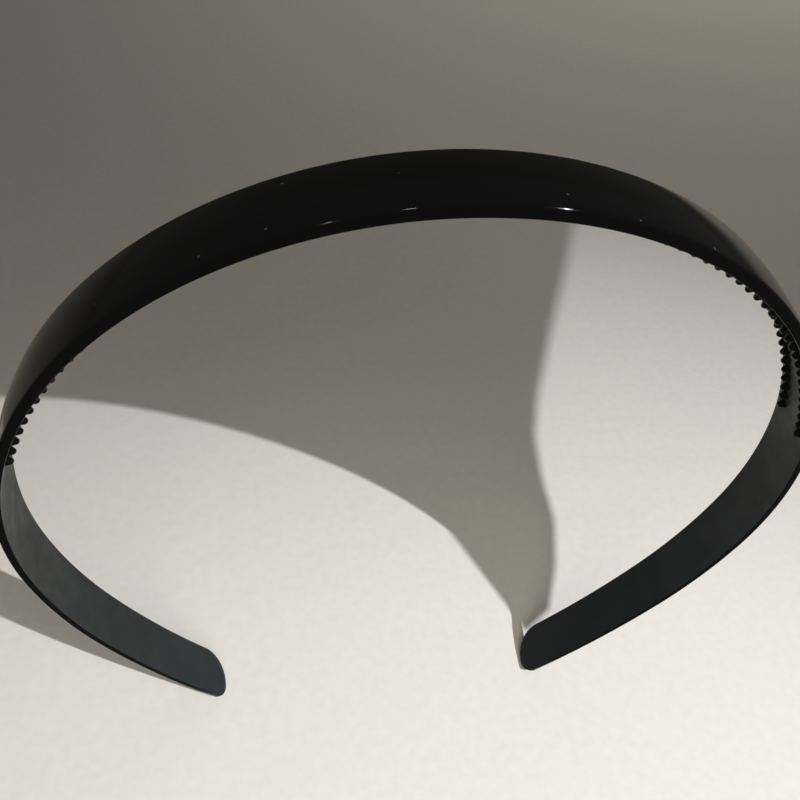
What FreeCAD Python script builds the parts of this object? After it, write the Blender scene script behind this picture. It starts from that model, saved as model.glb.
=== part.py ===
import FreeCAD, Part
import math
import os

# One-piece plastic headband. Millimetres, X to the right as seen from the front, Y across the
# band's width towards the back, Z up. The tips touch z = 0, with the crown on top between them.

Vector = FreeCAD.Vector
ACROSS = Vector(0, 1, 0)
SIDEWAYS = Vector(1, 0, 0)

# Outline of the outer face seen from the front: three tangent arcs on each side.
# Every "_END" is a distance along that face from the middle of the crown.
ARCH_RADIUS = 65.4
LEG_RADIUS = 94.0
TIP_RADIUS = 160.0
ARCH_END = 116.0
LEG_END = 141.5
TIP_END = 179.0

# Cross-section: flat inside, gently convex outside, rounded outer edges.
BAND_WIDTH = 10.7
TIP_WIDTH = 9.7
CROWN_THICKNESS = 2.25
TIP_THICKNESS = 1.35
OUTER_BULGE = 0.4
EDGE_RADIUS = 0.4
TIP_FRONT_RADIUS = 2.8
TIP_BACK_RADIUS = 6.6

# Two rows of blunt conical teeth on the inside, one near each edge. The middle tooth of each
# row is at the middle of the crown.
TOOTH_PITCH = 2.43
TOOTH_HEIGHT = 1.15
TOOTH_BASE_RADIUS = 0.9
TOOTH_NOSE_RADIUS = 0.5
TOOTH_INSET = 2.2
CROWN_TEETH_EACH_SIDE = 11
TEMPLE_TEETH = 18
SIDE_TEETH = 5
FIRST_TEMPLE_TOOTH = CROWN_TEETH_EACH_SIDE + 1
FIRST_SIDE_TOOTH = FIRST_TEMPLE_TOOTH + TEMPLE_TEETH

# The zones meet midway between two teeth.
CROWN_END = (FIRST_TEMPLE_TOOTH - 0.5) * TOOTH_PITCH
TEMPLE_END = (FIRST_SIDE_TOOTH - 0.5) * TOOTH_PITCH

# Working solids reach this far past the faces that they cut.
OVERSIZE = 2 * BAND_WIDTH

OUTER_ARCS = ((ARCH_RADIUS, ARCH_END), (LEG_RADIUS, LEG_END), (TIP_RADIUS, TIP_END))
ZONES = {
    "crown": (-CROWN_END, CROWN_END),
    "temple": (CROWN_END, TEMPLE_END),
    "side": (TEMPLE_END, ARCH_END),
    "leg": (ARCH_END, LEG_END),
    "tip": (LEG_END, TIP_END),
}


def outer_point(distance):
    """Point of the outer face and its outward normal, with the middle of the crown at z = 0."""
    x, z, turn, start = 0.0, 0.0, 0.0, 0.0
    for radius, end in OUTER_ARCS:
        run = min(abs(distance), end) - start
        next_turn = turn + max(run, 0.0) / radius
        x += radius * (math.sin(next_turn) - math.sin(turn))
        z += radius * (math.cos(next_turn) - math.cos(turn))
        turn = next_turn
        start = end
    side = math.copysign(1.0, distance)
    return Vector(side * x, 0, z), Vector(side * math.sin(turn), 0, math.cos(turn))


def outer_radius(start, end):
    """Radius of the outer arc that a zone lies on."""
    middle = abs(start + end) / 2
    for radius, arc_end in OUTER_ARCS:
        if middle < arc_end:
            return radius
    raise ValueError("zone lies past the tips")


def thickness(distance):
    """Thickness at the middle of the width, which falls evenly from crown to tip."""
    return CROWN_THICKNESS + (TIP_THICKNESS - CROWN_THICKNESS) * abs(distance) / TIP_END


def inner_arc(start, end):
    """Arc of a zone's inner face."""
    points = []
    for distance in (start, (start + end) / 2, end):
        point, normal = outer_point(distance)
        points.append(point - normal * thickness(distance))
    return Part.Arc(*points)


def swept_section(start, end):
    """Bar with the band's outer face and full width, deeper than the band is thick."""
    radius = outer_radius(start, end)
    point, normal = outer_point(start)
    half_width = ACROSS * (BAND_WIDTH / 2)
    shoulder = point - normal * OUTER_BULGE
    foot = point - normal * (2 * CROWN_THICKNESS)
    outline = [
        Part.Arc(shoulder - half_width, point, shoulder + half_width),
        Part.LineSegment(shoulder + half_width, foot + half_width),
        Part.LineSegment(foot + half_width, foot - half_width),
        Part.LineSegment(foot - half_width, shoulder - half_width),
    ]
    section = Part.Face(Part.Wire([curve.toShape() for curve in outline]))
    sweep = math.degrees((end - start) / radius)
    return section.revolve(point - normal * radius, ACROSS, sweep)


def space_inside(start, end):
    """Solid filling the space just inside a zone's inner face."""
    arc = inner_arc(start, end)
    deep = []
    for distance in (end, start):
        point, normal = outer_point(distance)
        deep.append(point - normal * OVERSIZE)
    outline = [
        arc,
        Part.LineSegment(arc.EndPoint, deep[0]),
        Part.LineSegment(deep[0], deep[1]),
        Part.LineSegment(deep[1], arc.StartPoint),
    ]
    face = Part.Face(Part.Wire([curve.toShape() for curve in outline]))
    face.translate(ACROSS * -OVERSIZE)
    return face.extrude(ACROSS * (2 * OVERSIZE))


def side_trims():
    """Two wedges that narrow the band evenly from the ends of the temples down to the tips."""
    top = outer_point(TEMPLE_END)[0].z
    bottom = outer_point(TIP_END)[0].z
    slope = (BAND_WIDTH - TIP_WIDTH) / 2 / (top - bottom)
    low = bottom - OVERSIZE
    narrow = BAND_WIDTH / 2 - slope * (top - low)
    wedges = []
    for side in (-1, 1):
        corners = [
            Vector(-OVERSIZE, side * BAND_WIDTH / 2, top),
            Vector(-OVERSIZE, side * narrow, low),
            Vector(-OVERSIZE, side * OVERSIZE, low),
            Vector(-OVERSIZE, side * OVERSIZE, top),
        ]
        face = Part.Face(Part.makePolygon(corners + corners[:1]))
        wedges.append(face.extrude(SIDEWAYS * (2 * ARCH_RADIUS)))
    return wedges


def middle_of(edge):
    """Point halfway along an edge."""
    return edge.valueAt((edge.FirstParameter + edge.LastParameter) / 2)


def round_tip_corners(band):
    """Round off the two corners of a tip, seen on its broad face. The back one is rounder."""
    end_point, end_normal = outer_point(TIP_END)
    along = end_normal.cross(ACROSS)
    for side, radius in ((-1, TIP_FRONT_RADIUS), (1, TIP_BACK_RADIUS)):
        corners = []
        for edge in band.Edges:
            middle = middle_of(edge)
            at_end = abs((middle - end_point).dot(along)) < EDGE_RADIUS
            if at_end and side * middle.y > TIP_WIDTH / 2 - EDGE_RADIUS:
                corners.append(edge)
        band = band.makeFillet(radius, corners)
    return band


def round_outer_edges(band, start, end):
    """Round the two long edges of a zone's outer face."""
    radius = outer_radius(start, end)
    point, normal = outer_point(start)
    centre = point - normal * radius
    edges = []
    for edge in band.Edges:
        middle = middle_of(edge)
        spoke = Vector(middle.x, 0, middle.z) - centre
        on_outer_face = spoke.Length > radius - 1.5 * OUTER_BULGE
        if on_outer_face and abs(middle.y) > TIP_WIDTH / 2 - EDGE_RADIUS:
            edges.append(edge)
    return band.makeFillet(EDGE_RADIUS, edges)


def band_zone(name):
    """One zone of the band, on the +X side unless it is the crown."""
    start, end = ZONES[name]
    band = swept_section(start, end).cut(space_inside(start, end))
    if start >= TEMPLE_END:
        band = band.cut(side_trims())
    if name == "tip":
        band = round_tip_corners(band)
    band = round_outer_edges(band, start, end)
    return band.removeSplitter().Solids[0]


def tooth():
    """One tooth standing on z = 0: a cone that ends in a round nose."""
    nose = Vector(0, 0, TOOTH_HEIGHT - TOOTH_NOSE_RADIUS)
    base = Vector(TOOTH_BASE_RADIUS, 0, 0)
    to_base = base - nose
    tangent = math.atan2(to_base.z, to_base.x) + math.acos(TOOTH_NOSE_RADIUS / to_base.Length)
    halfway = (tangent + math.pi / 2) / 2
    shoulder = nose + Vector(math.cos(tangent), 0, math.sin(tangent)) * TOOTH_NOSE_RADIUS
    bend = nose + Vector(math.cos(halfway), 0, math.sin(halfway)) * TOOTH_NOSE_RADIUS
    top = Vector(0, 0, TOOTH_HEIGHT)
    outline = [
        Part.LineSegment(Vector(), base),
        Part.LineSegment(base, shoulder),
        Part.Arc(shoulder, bend, top),
        Part.LineSegment(top, Vector()),
    ]
    half_section = Part.Face(Part.Wire([curve.toShape() for curve in outline]))
    return half_section.revolve(Vector(), Vector(0, 0, 1), 360)


def tooth_row(zone, first, count, edge_side):
    """Some teeth of one zone along one edge of the band, as separate solids in one compound."""
    start, end = ZONES[zone]
    face = inner_arc(start, end).toShape().Curve
    across = ACROSS * (edge_side * (BAND_WIDTH / 2 - TOOTH_INSET))
    # The rim of a tooth's flat base touches the curved face.
    reach = math.sqrt(face.Radius ** 2 - TOOTH_BASE_RADIUS ** 2)
    teeth = []
    for number in range(first, first + count):
        outward = outer_point(number * TOOTH_PITCH)[0] - face.Center
        outward.normalize()
        foot = face.Center + outward * reach + across
        stance = FreeCAD.Rotation(Vector(0, 0, 1), -outward)
        one = tooth()
        one.Placement = FreeCAD.Placement(foot, stance)
        teeth.append(one)
    return Part.makeCompound(teeth)


def right_and_left(nodes, name, shape):
    """Add a sub-part of the +X side, and its mirror image."""
    nodes[name + "_right"] = shape
    nodes[name + "_left"] = shape.mirror(Vector(), SIDEWAYS)


def add_teeth(nodes, edge_name, edge_side):
    """Add one whole row of teeth, zone by zone."""
    name = "_teeth_" + edge_name
    middle_count = 2 * CROWN_TEETH_EACH_SIDE + 1
    nodes["crown" + name] = tooth_row("crown", -CROWN_TEETH_EACH_SIDE, middle_count, edge_side)
    temple = tooth_row("temple", FIRST_TEMPLE_TOOTH, TEMPLE_TEETH, edge_side)
    right_and_left(nodes, "temple" + name, temple)
    side = tooth_row("side", FIRST_SIDE_TOOTH, SIDE_TEETH, edge_side)
    right_and_left(nodes, "side" + name, side)


def build():
    """Every sub-part by name, standing on z = 0."""
    nodes = {"crown_band": band_zone("crown")}
    for zone in ("temple", "side", "leg", "tip"):
        right_and_left(nodes, zone + "_band", band_zone(zone))
    add_teeth(nodes, "front", -1)
    add_teeth(nodes, "back", 1)
    lowest = nodes["tip_band_right"].optimalBoundingBox().ZMin
    for shape in nodes.values():
        shape.translate(Vector(0, 0, -lowest))
    return nodes, -lowest


def main():
    nodes, height = build()
    os.makedirs("parts", exist_ok=True)
    for name, shape in nodes.items():
        shape.exportStep(os.path.join("parts", name + ".step"))
    print("height", round(height, 3))
    for name, distance in (("crown", CROWN_END), ("temple", TEMPLE_END), ("arch", ARCH_END)):
        point = outer_point(distance)[0]
        print("end of", name, round(point.x, 4), round(point.z + height, 4))


main()
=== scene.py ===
import math

import bpy
from mathutils import Matrix, Vector


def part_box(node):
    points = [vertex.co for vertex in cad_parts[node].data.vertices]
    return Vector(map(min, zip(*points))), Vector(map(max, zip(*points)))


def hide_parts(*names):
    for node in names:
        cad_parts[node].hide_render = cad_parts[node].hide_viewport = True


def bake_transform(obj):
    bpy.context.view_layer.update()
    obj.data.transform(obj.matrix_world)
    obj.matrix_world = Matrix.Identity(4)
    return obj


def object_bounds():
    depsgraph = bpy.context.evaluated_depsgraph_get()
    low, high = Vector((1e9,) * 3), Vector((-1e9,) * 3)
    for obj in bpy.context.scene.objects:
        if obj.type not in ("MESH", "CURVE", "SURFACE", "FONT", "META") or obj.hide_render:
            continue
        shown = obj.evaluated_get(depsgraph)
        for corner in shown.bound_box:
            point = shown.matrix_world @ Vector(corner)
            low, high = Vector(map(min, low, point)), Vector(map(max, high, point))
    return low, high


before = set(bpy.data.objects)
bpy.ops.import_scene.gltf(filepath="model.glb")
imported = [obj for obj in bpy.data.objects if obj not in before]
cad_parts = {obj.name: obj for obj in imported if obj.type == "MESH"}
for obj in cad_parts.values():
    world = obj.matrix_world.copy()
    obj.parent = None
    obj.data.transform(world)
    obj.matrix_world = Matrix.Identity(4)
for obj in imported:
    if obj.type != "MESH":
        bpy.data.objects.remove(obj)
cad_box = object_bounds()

# Looks of a one-piece black plastic headband. Metres, in the frame of the imported model: X to the
# right as seen from the front, Y towards the back, Z up. The band and its teeth are built again
# as fine meshes.

# Outline of the outer face seen from the front: three tangent arcs on each side.
# Every "_END" is a distance along that face from the middle of the crown.
ARCH_RADIUS = 0.0654
LEG_RADIUS = 0.0940
TIP_RADIUS = 0.1600
ARCH_END = 0.1160
LEG_END = 0.1415
TIP_END = 0.1790

# Cross-section of the band: flat inside, gently convex outside, rounded edges.
BAND_WIDTH = 0.0107
TIP_WIDTH = 0.0097
CROWN_THICKNESS = 0.00225
TIP_THICKNESS = 0.00135
OUTER_BULGE = 0.0004
EDGE_RADIUS = 0.0004
INNER_EDGE_RADIUS = 0.0001
TIP_FRONT_RADIUS = 0.0028
TIP_BACK_RADIUS = 0.0066

# Teeth: round-nosed cones in two rows, numbered from 0 at the middle of the crown outwards.
TOOTH_PITCH = 0.00243
TOOTH_HEIGHT = 0.00115
TOOTH_BASE_RADIUS = 0.0009
TOOTH_NOSE_RADIUS = 0.0005
TOOTH_INSET = 0.0022
TOOTH_SINK = 0.00005
LAST_CROWN_TOOTH = 20
LAST_TEMPLE_TOOTH = 29
LAST_TOOTH = 34

# The band narrows from here down to the tips, and its rounded ends start here.
TEMPLE_END = (LAST_TEMPLE_TOOTH + 0.5) * TOOTH_PITCH
TIP_STEP = 0.0005
TIP_MIDDLE = TIP_END - TIP_BACK_RADIUS - TIP_STEP

# The band is split halfway between its joints. For each stretch, BLENDS gives a start a little
# past one split and an end a little before the next.
CROWN_SPLIT = (LAST_CROWN_TOOTH + 0.5) * TOOTH_PITCH
TEMPLE_SPLIT = 0.0930
CROWN_BLEND_START = 0.0050
LEG_BLEND_END = 0.1390
SPLIT_MARGIN = 0.0008
SPLITS = (-TIP_MIDDLE, -TEMPLE_SPLIT, -CROWN_SPLIT, 0.0, CROWN_SPLIT, TEMPLE_SPLIT, TIP_MIDDLE)

# Fineness of the meshes.
STATION_STEP = 0.0010
OUTER_STEPS = 9
FILLET_STEPS = 8
EDGE_FILLET_STEPS = 2
WALL_STEPS = 2
CORNER_STEPS = 4
INNER_STEPS = 7
TIP_CORNER_STEPS = 20
TOOTH_SIDES = 28
TOOTH_NOSE_STEPS = 6
TOOTH_FLANK_STEPS = 3

# Points of a half section, which leaves out both middle lines, and of the ring made of two.
OUTER_POINTS = OUTER_STEPS + FILLET_STEPS
WALL_POINTS = WALL_STEPS - 1 + CORNER_STEPS + 1
HALF_POINTS = OUTER_POINTS + WALL_POINTS + INNER_STEPS - 1
RING = 2 * HALF_POINTS + 2
INNER_MIDDLE = HALF_POINTS + 1

# Finishes of the band by material slot, and the points of a half section where the edge's
# finish and then the inner face's start.
GLOSS, MATT, EDGE = range(3)
FIRST_EDGE_POINT = OUTER_POINTS - EDGE_FILLET_STEPS
FIRST_INNER_POINT = HALF_POINTS - INNER_STEPS + 1

FULL_TURN = 2 * math.pi
QUARTER_TURN = math.pi / 2
ACROSS = Vector((0, 1, 0))
UP = Vector((0, 0, 1))
CREST_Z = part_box("crown_band")[1].z
OUTER_ARCS = ((ARCH_RADIUS, ARCH_END), (LEG_RADIUS, LEG_END), (TIP_RADIUS, TIP_END))
BULGE_RADIUS = ((BAND_WIDTH / 2) ** 2 + OUTER_BULGE ** 2) / (2 * OUTER_BULGE)

# Each stretch of the band from left to right: its name, its side, the two bodies that it joins
# and the CAD nodes that it stands for.
STRETCHES = (
    ("leg", "left", ("side", "leg"), ("side_band", "leg_band", "tip_band")),
    ("temple", "left", ("temple", "side"), ("temple_band", "side_band")),
    ("crown", "left", ("crown", "temple"), ("crown_band", "temple_band")),
    ("crown", "right", ("crown", "temple"), ("crown_band", "temple_band")),
    ("temple", "right", ("temple", "side"), ("temple_band", "side_band")),
    ("leg", "right", ("side", "leg"), ("side_band", "leg_band", "tip_band")),
)
BLENDS = {
    "crown": (CROWN_BLEND_START, CROWN_SPLIT - SPLIT_MARGIN),
    "temple": (CROWN_SPLIT + SPLIT_MARGIN, TEMPLE_SPLIT - SPLIT_MARGIN),
    "leg": (TEMPLE_SPLIT + SPLIT_MARGIN, LEG_BLEND_END),
}

# Surfaces. Roughness is a range that a noise runs through. A noise is its scale in features
# per metre and its detail, and a bump is a noise, its strength and its depth. The scale of lines
# is along and across the band. Nearly all of a noise's values lie in NOISE_RANGE.
NOISE_RANGE = (0.3, 0.7)
PLASTIC_IOR = 1.5
GLOSS_COLOUR = (0.0032, 0.0035, 0.0034, 1)
GLOSS_ROUGHNESS = (0.02, 0.05)
GLOSS_BUMP = (350, 2, 0.25, 0.00001)
WIPING_SCALE = (60, 5000)
WIPING_DETAIL = 4
# Light specks on the polished face: partly dust, partly painted glints of small dents.
DUST_AND_GLINT_COLOUR = (0.12, 0.12, 0.11, 1)
SPECK_SCALE = 330
SPECK_EDGE = (0.03, 0.09)
SPECK_PATCHES = (130, 1)
SPECK_PATCH_EDGE = (0.50, 0.56)
EDGE_COLOUR = (0.0020, 0.0021, 0.0021, 1)
EDGE_ROUGHNESS = (0.12, 0.24)
EDGE_BUMP = (2500, 2, 0.3, 0.00001)
MOULD_LINE_SCALE = (80, 4000)
MOULD_LINE_DETAIL = 3
MATT_DARK = (0.0100, 0.0125, 0.0138, 1)
MATT_LIGHT = (0.0130, 0.0160, 0.0175, 1)
MATT_SHEEN = (0.60, 0.70, 0.74, 1)
MATT_CLOUDS = (90, 3)
MATT_ROUGHNESS = (0.42, 0.55)
MATT_PATCHES = (250, 4)
MATT_BUMP = (9000, 3, 0.5, 0.00003)
TOOTH_COLOUR = (0.0035, 0.0038, 0.0040, 1)
TOOTH_ROUGHNESS = (0.18, 0.30)
TOOTH_PATCHES = (1500, 3)
TOOTH_BUMP = (1800, 2, 0.3, 0.00002)
PAPER_DARK = (0.780, 0.745, 0.682, 1)
PAPER_LIGHT = (0.820, 0.785, 0.718, 1)
PAPER_MOTTLE = (450, 6)
PAPER_ROUGHNESS = 0.9
PAPER_BUMP = (700, 5, 0.22, 0.0001)

# Key light: a far spot lamp that is aimed at the middle of the pool of light that it makes.
KEY_PLACE = Vector((1.485, -1.410, 2.193))
KEY_POOL = Vector((0.15, -0.20, 0.0))
KEY_POOL_RADIUS = 0.37
KEY_POWER = 405
KEY_COLOUR = (0.94, 0.97, 1.0)
KEY_RADIUS = 0.018

# Other lights: two soft ones, the room all round, and three small far lamps that only make
# highlights on the band's edge, each with its direction, its width in degrees and its strength.
FILL_DIRECTION = Vector((0.0, -0.6, 0.8))
FILL_DISTANCE = 0.45
FILL_SIZE = 0.3
FILL_POWER = 0.85
FILL_COLOUR = (1.0, 0.95, 0.88)
BACK_PLACE = (0.25, 0.52, 0.32)
BACK_SIZE = 0.5
BACK_POWER = 0.55
BACK_COLOUR = (1.0, 0.94, 0.86)
ROOM_COLOUR = (0.058, 0.058, 0.055, 1)
BACKDROP_COLOUR = (0.30, 0.29, 0.27, 1)
GLINTS = (
    ("glint_right", (0.504, -0.481, 0.718), 3.5, 0.090),
    ("glint_middle", (-0.033, -0.542, 0.839), 2.8, 0.080),
    ("glint_left", (-0.314, -0.576, 0.755), 2.2, 0.060),
)

# The floor reaches this far all round, and its foreground is the part in front of this Y.
FLOOR_REACH = 6.0
FOREGROUND_Y = -0.007

# Corners (x, y) of the part of the floor that an upright card at CARD_Y keeps the key light off.
CARD_Y = -0.050
SHADED_FLOOR = (
    (0.044, 0.011),
    (0.037, 0.006),
    (0.019, 0.043),
    (-0.025, 0.073),
    (-0.062, 0.086),
    (-0.096, 0.091),
    (-0.400, 0.060),
    (-0.400, 0.700),
    (0.400, 0.700),
    (0.300, 0.020),
    (0.155, 0.090),
    (0.152, 0.136),
    (0.143, 0.164),
    (0.122, 0.176),
    (0.097, 0.176),
    (0.083, 0.140),
    (0.069, 0.107),
    (0.058, 0.080),
    (0.0535, 0.065),
    (0.052, 0.050),
    (0.052, 0.036),
    (0.049, 0.023),
)

# Camera: its place, the way that it looks, and its lens.
CAMERA_PLACE = (-0.0275, -0.0793, 0.1884)
CAMERA_AZIMUTH = math.radians(15.337)
CAMERA_ELEVATION = math.radians(48.859)
CAMERA_ROLL = math.radians(10.223)
SENSOR = 36.0
LENS = 38.77
CLOSEST_SEEN = 0.001


# ---------------------------------------------------------------- shape of the band

def outline(distance):
    """Point of the outer face's crest (x, z) and the turn of its normal from upright."""
    x, z, turn, start = 0.0, 0.0, 0.0, 0.0
    for radius, end in OUTER_ARCS:
        run = max(min(abs(distance), end) - start, 0.0)
        next_turn = turn + run / radius
        x += radius * (math.sin(next_turn) - math.sin(turn))
        z += radius * (math.cos(next_turn) - math.cos(turn))
        turn = next_turn
        start = end
    side = math.copysign(1.0, distance)
    return side * x, CREST_Z + z, side * turn


def on_band(distance, across, depth):
    """Place of a point given along and across the band and in from its crest."""
    x, z, turn = outline(distance)
    return Vector((x - depth * math.sin(turn), across, z - depth * math.cos(turn)))


def thickness(distance):
    """Thickness at the middle of the width, which falls evenly from crown to tip."""
    share = abs(distance) / TIP_END
    return CROWN_THICKNESS + (TIP_THICKNESS - CROWN_THICKNESS) * share


def half_width(distance):
    """Half the width, which narrows evenly with height from the temples to the tips."""
    top = outline(TEMPLE_END)[1]
    bottom = outline(TIP_END)[1]
    share = max(top - outline(distance)[1], 0.0) / (top - bottom)
    return (BAND_WIDTH + (TIP_WIDTH - BAND_WIDTH) * share) / 2


def bulge(across):
    """How far the convex outer face lies below its crest."""
    return BULGE_RADIUS - math.sqrt(BULGE_RADIUS ** 2 - across ** 2)


def half_section(rim, inward, middle):
    """Points (along, across, depth) from beside the outer middle line, round the edge, to
    beside the inner middle line. rim is a point (along, across) of the band's plan outline,
    inward the direction in from it, and middle the distance along of the middle line's point."""
    def inset(amount):
        return rim[0] + inward[0] * amount, rim[1] + inward[1] * amount

    centre = inset(EDGE_RADIUS)
    lean = math.asin(abs(centre[1] * inward[1]) / BULGE_RADIUS)
    centre_depth = bulge(centre[1]) + EDGE_RADIUS / math.cos(lean)
    points = []
    shoulder = inset(EDGE_RADIUS * (1 - math.sin(lean)))
    for step in range(1, OUTER_STEPS):
        share = step / OUTER_STEPS
        along = middle + (shoulder[0] - middle) * share
        points.append((along, shoulder[1] * share, bulge(shoulder[1] * share)))
    for step in range(FILLET_STEPS + 1):
        angle = lean + (QUARTER_TURN - lean) * step / FILLET_STEPS
        along, across = inset(EDGE_RADIUS * (1 - math.sin(angle)))
        points.append((along, across, centre_depth - EDGE_RADIUS * math.cos(angle)))
    corner_depth = thickness(rim[0]) - INNER_EDGE_RADIUS
    for step in range(1, WALL_STEPS):
        depth = centre_depth + (corner_depth - centre_depth) * step / WALL_STEPS
        points.append((rim[0], rim[1], depth))
    for step in range(CORNER_STEPS + 1):
        angle = QUARTER_TURN * step / CORNER_STEPS
        along, across = inset(INNER_EDGE_RADIUS * (1 - math.cos(angle)))
        depth = thickness(along) - INNER_EDGE_RADIUS * (1 - math.sin(angle))
        points.append((along, across, depth))
    shoulder = points[-1]
    for step in range(INNER_STEPS - 1, 0, -1):
        share = step / INNER_STEPS
        along = middle + (shoulder[0] - middle) * share
        points.append((along, shoulder[1] * share, thickness(along)))
    return points


def section(distance):
    """Closed loop of points round the band: outer middle, +Y edge, inner middle, -Y edge."""
    width = half_width(distance)
    front = half_section((distance, -width), (0, 1), distance)
    back = half_section((distance, width), (0, -1), distance)
    outer_middle = (distance, 0.0, 0.0)
    inner_middle = (distance, 0.0, thickness(distance))
    return [outer_middle] + back + [inner_middle] + front[::-1]


def tip_outline():
    """Plan outline round one tip, from its +Y side to its -Y side, with inward directions."""
    halves = []
    for side, radius in ((1, TIP_BACK_RADIUS), (-1, TIP_FRONT_RADIUS)):
        places = []
        corner_start = TIP_END - radius
        for along in stations(TIP_MIDDLE, corner_start, TIP_STEP)[1:-1]:
            places.append(((along, side * half_width(along)), (0, -side)))
        corner_across = half_width(corner_start) - radius
        for step in range(TIP_CORNER_STEPS + 1):
            angle = QUARTER_TURN * step / TIP_CORNER_STEPS
            out = (math.sin(angle), side * math.cos(angle))
            rim = (corner_start + radius * out[0], side * corner_across + radius * out[1])
            places.append((rim, (-out[0], -out[1])))
        halves.append(places)
    return halves[0] + halves[1][::-1]


def stations(start, end, wanted):
    """Distances from start to end in equal steps near the wanted step."""
    steps = max(1, round((end - start) / wanted))
    return [start + (end - start) * step / steps for step in range(steps + 1)]


# ---------------------------------------------------------------- meshes of the band

def finish_of(step):
    """Finish of the strip after this point of a half section, counted from the outer middle."""
    if step >= FIRST_INNER_POINT:
        return MATT
    return EDGE if step >= FIRST_EDGE_POINT else GLOSS


def finish_of_strip(place):
    """Finish of the strip after this place of a ring."""
    return finish_of(place if place < INNER_MIDDLE else RING - place - 1)


def whole_band():
    """Vertices of the whole band, its faces as (stretch, finish, vertex numbers), its seams."""
    vertices, faces, first_rings = [], [], []
    distances = []
    for start, end in zip(SPLITS, SPLITS[1:]):
        first_rings.append(len(distances))
        distances += stations(start, end, STATION_STEP)[:-1]
    distances.append(SPLITS[-1])
    first_rings.append(len(distances) - 1)
    for distance in distances:
        vertices += [on_band(*point) for point in section(distance)]
    for stretch, (first, last) in enumerate(zip(first_rings, first_rings[1:])):
        for ring in range(first, last):
            for place in range(RING):
                following = (place + 1) % RING
                a, b = ring * RING + place, ring * RING + following
                faces.append((stretch, finish_of_strip(place), (a, a + RING, b + RING, b)))
    for side, ring, stretch in ((-1, 0, 0), (1, len(distances) - 1, len(SPLITS) - 2)):
        add_tip(vertices, faces, side, ring * RING, stretch)
    seams = [range(ring * RING, (ring + 1) * RING) for ring in first_rings[1:-1]]
    return vertices, faces, seams


def add_tip(vertices, faces, side, base, stretch):
    """The rounded end beyond the last ring, as strips that run round the tip's outline."""
    columns = [[base + 1 + place for place in range(HALF_POINTS)]]
    for rim, inward in tip_outline():
        points = half_section(rim, inward, TIP_MIDDLE)
        columns.append(list(range(len(vertices), len(vertices) + HALF_POINTS)))
        vertices += [on_band(side * along, across, depth) for along, across, depth in points]
    columns.append([base + RING - 1 - place for place in range(HALF_POINTS)])
    outer_middle, inner_middle = base, base + INNER_MIDDLE

    def add(numbers, finish):
        faces.append((stretch, finish, numbers[::-1] if side > 0 else numbers))

    for column, following in zip(columns, columns[1:]):
        add((outer_middle, column[0], following[0]), GLOSS)
        add((inner_middle, following[-1], column[-1]), MATT)
        for place in range(HALF_POINTS - 1):
            numbers = (column[place], column[place + 1], following[place + 1], following[place])
            add(numbers, finish_of(place + 1))


def mesh_object(name, vertices, faces, materials, slots=None):
    """A smooth-shaded mesh object in the scene."""
    mesh = bpy.data.meshes.new(name)
    mesh.from_pydata(vertices, [], faces)
    for material in materials:
        mesh.materials.append(material)
    if slots:
        mesh.polygons.foreach_set("material_index", slots)
    mesh.shade_smooth()
    mesh.update()
    piece = bpy.data.objects.new(name, mesh)
    bpy.context.scene.collection.objects.link(piece)
    return piece


def vertex_normals(vertices, faces):
    """Smooth normals of a mesh that is only made to measure them."""
    mesh = bpy.data.meshes.new("measure")
    mesh.from_pydata(vertices, [], [numbers for _, _, numbers in faces])
    mesh.update()
    normals = [vertex.normal.copy() for vertex in mesh.vertices]
    bpy.data.meshes.remove(mesh)
    return normals


def band_piece(name, stretch, band, normals, materials):
    """One stretch of the band, closed at its cuts, shaded as if it weren't cut."""
    vertices, faces, seams = band
    kept = [(finish, numbers) for at, finish, numbers in faces if at == stretch]
    used = sorted({number for _, numbers in kept for number in numbers})
    new_number = {number: place for place, number in enumerate(used)}
    polygons = [tuple(new_number[number] for number in numbers) for _, numbers in kept]
    slots = [finish for finish, _ in kept]
    corner_normals = [normals[number] for _, numbers in kept for number in numbers]
    for place, seam in enumerate(seams):
        if stretch not in (place, place + 1):
            continue
        cut = tuple(new_number[number] for number in seam)
        outward = cut_direction(vertices, seam, stretch == place)
        polygons.append(cut if stretch == place else cut[::-1])
        slots.append(EDGE)
        corner_normals += [outward] * len(cut)
    piece = mesh_object(name, [vertices[number] for number in used], polygons, materials, slots)
    on_seams = {number for seam in seams for number in seam}
    cut_vertices = {new_number[number] for number in on_seams if number in new_number}
    for edge in piece.data.edges:
        edge.use_edge_sharp = cut_vertices.issuperset(edge.vertices)
    piece.data.normals_split_custom_set(corner_normals)
    return piece


def cut_direction(vertices, seam, is_end):
    """Direction out of a cut across the band, towards +X at a stretch's end."""
    outer = vertices[seam[0]]
    inner = vertices[seam[INNER_MIDDLE]]
    along = (inner - outer).cross(ACROSS).normalized()
    return along if (along.x > 0) == is_end else -along


# ---------------------------------------------------------------- teeth

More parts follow.
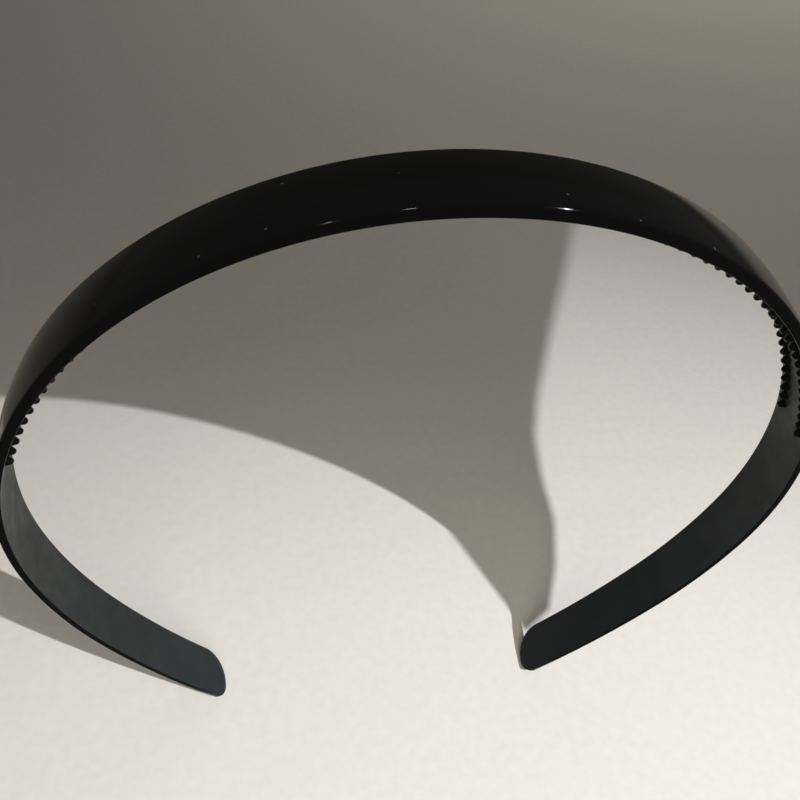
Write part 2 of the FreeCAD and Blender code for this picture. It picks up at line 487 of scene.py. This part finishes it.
def tooth_profile():
    """Half outline of a tooth as (radius, height), from inside the band up to its nose."""
    nose_height = TOOTH_HEIGHT - TOOTH_NOSE_RADIUS
    reach = math.hypot(TOOTH_BASE_RADIUS, nose_height)
    angle = math.acos(TOOTH_NOSE_RADIUS / reach) - math.atan2(nose_height, TOOTH_BASE_RADIUS)
    shoulder_radius = TOOTH_NOSE_RADIUS * math.cos(angle)
    shoulder_height = nose_height + TOOTH_NOSE_RADIUS * math.sin(angle)
    profile = [(TOOTH_BASE_RADIUS, -TOOTH_SINK)]
    for step in range(TOOTH_FLANK_STEPS):
        share = step / TOOTH_FLANK_STEPS
        radius = TOOTH_BASE_RADIUS + (shoulder_radius - TOOTH_BASE_RADIUS) * share
        profile.append((radius, shoulder_height * share))
    for step in range(TOOTH_NOSE_STEPS):
        turn = angle + (QUARTER_TURN - angle) * step / TOOTH_NOSE_STEPS
        height = nose_height + TOOTH_NOSE_RADIUS * math.sin(turn)
        profile.append((TOOTH_NOSE_RADIUS * math.cos(turn), height))
    return profile


def add_tooth(vertices, faces, distance, across, profile):
    """One closed tooth standing on the inner face."""
    turn = outline(distance)[2]
    foot = on_band(distance, across, thickness(distance))
    inward = Vector((-math.sin(turn), 0, -math.cos(turn)))
    along = Vector((math.cos(turn), 0, -math.sin(turn)))
    base = len(vertices)
    for radius, height in profile:
        for side in range(TOOTH_SIDES):
            angle = FULL_TURN * side / TOOTH_SIDES
            ring = along * (radius * math.cos(angle)) + ACROSS * (radius * math.sin(angle))
            vertices.append(foot + inward * height + ring)
    top = len(vertices)
    vertices.append(foot + inward * TOOTH_HEIGHT)
    for level in range(len(profile) - 1):
        for side in range(TOOTH_SIDES):
            a = base + level * TOOTH_SIDES + side
            b = base + level * TOOTH_SIDES + (side + 1) % TOOTH_SIDES
            faces.append((a, a + TOOTH_SIDES, b + TOOTH_SIDES, b))
    last = base + (len(profile) - 1) * TOOTH_SIDES
    for side in range(TOOTH_SIDES):
        faces.append((last + side, top, last + (side + 1) % TOOTH_SIDES))
    faces.append(tuple(base + side for side in range(TOOTH_SIDES)))


def tooth_row(name, side, edge, first, last, material):
    """The teeth numbered first to last on one side and along one edge of the band."""
    vertices, faces = [], []
    across = edge * (BAND_WIDTH / 2 - TOOTH_INSET)
    profile = tooth_profile()
    for number in range(first, last + 1):
        add_tooth(vertices, faces, side * number * TOOTH_PITCH, across, profile)
    return mesh_object(name, vertices, faces, [material])


# ---------------------------------------------------------------- materials

class Surface:
    """A procedural material that is being put together."""

    def __init__(self, name):
        self.material = bpy.data.materials.new(name)
        self.material.use_nodes = True
        self.tree = self.material.node_tree
        self.link = self.tree.links.new
        self.inputs = self.tree.nodes["Principled BSDF"].inputs
        self.place = self.node("ShaderNodeTexCoord").outputs["Object"]

    def node(self, kind, **settings):
        """Adds a node. A setting is one of its attributes or the value of one of its inputs."""
        made = self.tree.nodes.new(kind)
        for key, value in settings.items():
            if hasattr(made, key):
                setattr(made, key, value)
            else:
                made.inputs[key].default_value = value
        return made

    def noise(self, scale, detail, place=None):
        """Noise with this many features per unit of its coordinates."""
        texture = self.node("ShaderNodeTexNoise", Scale=scale, Detail=detail)
        self.link(place or self.place, texture.inputs["Vector"])
        return texture.outputs["Fac"]

    def lines(self, scale, detail):
        """Noise that is drawn out into lines along the band."""
        along, across = scale
        mapping = self.node("ShaderNodeMapping", Scale=(along, across, along))
        self.link(self.place, mapping.inputs["Vector"])
        return self.noise(1, detail, mapping.outputs["Vector"])

    def spread(self, value, limits=(0.0, 1.0), source=NOISE_RANGE):
        """Maps a value from its source range to the range between two limits."""
        mapped = self.node("ShaderNodeMapRange")
        sockets = ("From Min", "From Max", "To Min", "To Max")
        for socket, number in zip(sockets, source + limits):
            mapped.inputs[socket].default_value = number
        self.link(value, mapped.inputs["Value"])
        return mapped.outputs["Result"]

    def roughen(self, value, limits):
        """Lets a noise value set the roughness within two limits."""
        self.link(self.spread(value, limits), self.inputs["Roughness"])

    def colour(self, share, first, second):
        """Mixes the base colour from two by a share from 0 to 1."""
        mix = self.node("ShaderNodeMix", data_type="RGBA")
        self.link(share, mix.inputs["Factor"])
        mix.inputs["A"].default_value = first
        mix.inputs["B"].default_value = second
        self.link(mix.outputs["Result"], self.inputs["Base Color"])

    def bump(self, scale, detail, strength, depth):
        """Makes the surface uneven by a noise."""
        made = self.node("ShaderNodeBump", Strength=strength, Distance=depth)
        self.link(self.noise(scale, detail), made.inputs["Height"])
        self.link(made.outputs["Normal"], self.inputs["Normal"])


def gloss_black():
    """Polished face: deep black, faintly wavy, with wiping marks and a few light specks that are
    partly dust and partly painted glints of small dents.
    """
    surface = Surface("gloss_black")
    surface.inputs["IOR"].default_value = PLASTIC_IOR
    surface.roughen(surface.lines(WIPING_SCALE, WIPING_DETAIL), GLOSS_ROUGHNESS)
    # The light specks are partly dust and partly painted glints of small dents.
    surface.colour(dust_and_glints(surface), GLOSS_COLOUR, DUST_AND_GLINT_COLOUR)
    surface.bump(*GLOSS_BUMP)
    return surface.material


def dust_and_glints(surface):
    """Share of dust and painted glints: 1 at the middle of a few scattered specks, 0 elsewhere."""
    cells = surface.node("ShaderNodeTexVoronoi", Scale=SPECK_SCALE)
    surface.link(surface.place, cells.inputs["Vector"])
    speck = surface.spread(cells.outputs["Distance"], (1.0, 0.0), SPECK_EDGE)
    rare = surface.spread(surface.noise(*SPECK_PATCHES), source=SPECK_PATCH_EDGE)
    both = surface.node("ShaderNodeMath", operation="MULTIPLY")
    surface.link(speck, both.inputs[0])
    surface.link(rare, both.inputs[1])
    return both.outputs["Value"]


def edge_black():
    """Side faces: the same plastic, not polished, with fine lines left by the mould."""
    surface = Surface("edge_black")
    surface.inputs["IOR"].default_value = PLASTIC_IOR
    surface.inputs["Base Color"].default_value = EDGE_COLOUR
    surface.roughen(surface.lines(MOULD_LINE_SCALE, MOULD_LINE_DETAIL), EDGE_ROUGHNESS)
    surface.bump(*EDGE_BUMP)
    return surface.material


def matt_black():
    """Inner face: the same plastic with a fine-grained dull texture."""
    surface = Surface("matt_black")
    surface.inputs["IOR"].default_value = PLASTIC_IOR
    surface.inputs["Specular Tint"].default_value = MATT_SHEEN
    surface.roughen(surface.noise(*MATT_PATCHES), MATT_ROUGHNESS)
    surface.colour(surface.spread(surface.noise(*MATT_CLOUDS)), MATT_DARK, MATT_LIGHT)
    surface.bump(*MATT_BUMP)
    return surface.material


def tooth_black():
    """Teeth: moulded as one with the band, slightly dull with soft unevenness."""
    surface = Surface("tooth_black")
    surface.inputs["IOR"].default_value = PLASTIC_IOR
    surface.inputs["Base Color"].default_value = TOOTH_COLOUR
    surface.roughen(surface.noise(*TOOTH_PATCHES), TOOTH_ROUGHNESS)
    surface.bump(*TOOTH_BUMP)
    return surface.material


def paper():
    """Plain warm-white paper with a fine fibrous surface."""
    surface = Surface("paper")
    surface.inputs["Roughness"].default_value = PAPER_ROUGHNESS
    surface.colour(surface.spread(surface.noise(*PAPER_MOTTLE)), PAPER_DARK, PAPER_LIGHT)
    surface.bump(*PAPER_BUMP)
    return surface.material


# ---------------------------------------------------------------- assembly

def sided(name, side):
    """Name of a CAD node or body on one side; the crown's has no side."""
    return name if name.startswith("crown") else f"{name}_{side}"


def join_bodies(piece, stretch, side):
    """Finds the start and end of the piece's stretch, and bakes the piece's transform into its
    mesh.
    """
    sign = 1 if side == "right" else -1
    start, end = [on_band(sign * distance, 0, 0) for distance in BLENDS[stretch]]
    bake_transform(piece)


def build_band(materials):
    """The six pieces of the band, in the places of the CAD nodes that they stand for."""
    band = whole_band()
    normals = vertex_normals(band[0], band[1])
    for number, (stretch, side, bodies, nodes) in enumerate(STRETCHES):
        piece = band_piece(f"band_{stretch}_{side}", number, band, normals, materials)
        join_bodies(piece, stretch, side)
        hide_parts(*[sided(node, side) for node in nodes])


def build_teeth(material):
    """Two pieces of teeth for each side and edge of the band."""
    for side, sign in (("right", 1), ("left", -1)):
        first_tooth = 0 if side == "right" else 1
        rows = (
            ("crown", ("crown", "temple"), first_tooth, LAST_CROWN_TOOTH),
            ("temple", ("temple", "side"), LAST_CROWN_TOOTH + 1, LAST_TOOTH),
        )
        for edge_name, edge in (("front", -1), ("back", 1)):
            for stretch, zones, first, last in rows:
                name = f"teeth_{stretch}_{edge_name}_{side}"
                piece = tooth_row(name, sign, edge, first, last, material)
                join_bodies(piece, stretch, side)
                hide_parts(*[sided(f"{zone}_teeth_{edge_name}", side) for zone in zones])


# ---------------------------------------------------------------- floor, lights and camera

def build_floor():
    """Endless pale floor. Its foreground doesn't show in the glossy faces."""
    material = paper()
    reach = FLOOR_REACH
    sheets = (("floor", FOREGROUND_Y, reach), ("foreground", -reach, FOREGROUND_Y))
    for name, low_y, high_y in sheets:
        corners = [(-reach, low_y, 0), (reach, low_y, 0), (reach, high_y, 0), (-reach, high_y, 0)]
        sheet = mesh_object(name, corners, [(0, 1, 2, 3)], [material])
        sheet.visible_glossy = name == "floor"


def build_card():
    """Upright card in front, cut so that the key lamp leaves part of the floor behind in shade."""
    corners = []
    for x, y in SHADED_FLOOR:
        on_floor = Vector((x, y, 0))
        share = (CARD_Y - y) / (KEY_PLACE.y - y)
        corners.append(on_floor.lerp(KEY_PLACE, share))
    card = mesh_object("card", corners, [tuple(range(len(corners)))], [paper()])
    card.visible_camera = False
    card.visible_glossy = False
    return card


def add_lamp(name, kind, place, direction, power, colour=(1.0, 1.0, 1.0)):
    """Lamp at a place, shining against the direction given."""
    light = bpy.data.lights.new(name, kind)
    light.energy = power
    light.color = colour
    lamp = bpy.data.objects.new(name, light)
    lamp.location = place
    lamp.rotation_mode = "QUATERNION"
    lamp.rotation_quaternion = Vector(direction).to_track_quat("Z", "Y")
    bpy.context.scene.collection.objects.link(lamp)
    return lamp


def build_key():
    """Key light, which falls off evenly from the middle of its pool to the rim."""
    to_key = KEY_PLACE - KEY_POOL
    key = add_lamp("key", "SPOT", KEY_PLACE, to_key, KEY_POWER, KEY_COLOUR).data
    key.spot_size = 2 * math.atan(KEY_POOL_RADIUS / to_key.length)
    key.spot_blend = 1.0
    key.shadow_soft_size = KEY_RADIUS


def build_glints(card):
    """Lamps that only make highlights. The card doesn't stand in their way."""
    past_card = bpy.data.collections.new("past_card")
    past_card.objects.link(card)
    past_card.collection_objects[0].light_linking.link_state = "EXCLUDE"
    for name, direction, width, power in GLINTS:
        lamp = add_lamp(name, "SUN", UP, direction, power)
        lamp.data.angle = math.radians(width)
        lamp.visible_diffuse = False
        lamp.light_linking.blocker_collection = past_card


def build_soft_lights():
    """Fill light aimed at the middle of the object, and a light from above the floor behind."""
    low, high = cad_box
    fill_place = (low + high) / 2 + FILL_DIRECTION * FILL_DISTANCE
    fill = add_lamp("fill", "AREA", fill_place, FILL_DIRECTION, FILL_POWER, FILL_COLOUR)
    back = add_lamp("back", "AREA", BACK_PLACE, UP, BACK_POWER, BACK_COLOUR)
    for lamp, size in ((fill, FILL_SIZE), (back, BACK_SIZE)):
        lamp.data.size = size
        lamp.visible_glossy = False


def build_room():
    """Dim room light all round, with a paler backdrop seen behind the floor."""
    world = bpy.data.worlds.new("room")
    world.use_nodes = True
    nodes = world.node_tree.nodes
    link = world.node_tree.links.new
    background = nodes["Background"]
    background.inputs["Color"].default_value = ROOM_COLOUR
    backdrop = nodes.new("ShaderNodeBackground")
    backdrop.inputs["Color"].default_value = BACKDROP_COLOUR
    seen = nodes.new("ShaderNodeMixShader")
    link(nodes.new("ShaderNodeLightPath").outputs["Is Camera Ray"], seen.inputs["Fac"])
    link(background.outputs["Background"], seen.inputs[1])
    link(backdrop.outputs["Background"], seen.inputs[2])
    link(seen.outputs["Shader"], nodes["World Output"].inputs["Surface"])
    bpy.context.scene.world = world


def build_camera():
    """Camera that looks down on the crown from the front left, tilted a little."""
    level = math.cos(CAMERA_ELEVATION)
    ahead = Vector((
        math.sin(CAMERA_AZIMUTH) * level,
        math.cos(CAMERA_AZIMUTH) * level,
        -math.sin(CAMERA_ELEVATION),
    ))
    right = ahead.cross(UP).normalized()
    up = right.cross(ahead)
    tilted_right = right * math.cos(CAMERA_ROLL) + up * math.sin(CAMERA_ROLL)
    tilted_up = up * math.cos(CAMERA_ROLL) - right * math.sin(CAMERA_ROLL)
    data = bpy.data.cameras.new("camera")
    data.lens = LENS
    data.sensor_width = SENSOR
    data.clip_start = CLOSEST_SEEN
    camera = bpy.data.objects.new("camera", data)
    turned = Matrix((tilted_right, tilted_up, -ahead)).transposed().to_4x4()
    camera.matrix_world = Matrix.Translation(CAMERA_PLACE) @ turned
    bpy.context.scene.collection.objects.link(camera)
    bpy.context.scene.camera = camera


build_band([gloss_black(), matt_black(), edge_black()])
build_teeth(tooth_black())
build_floor()
build_key()
build_glints(build_card())
build_soft_lights()
build_room()
build_camera()
bpy.context.scene.view_settings.view_transform = "Standard"
bpy.context.scene.cycles.use_denoising = True
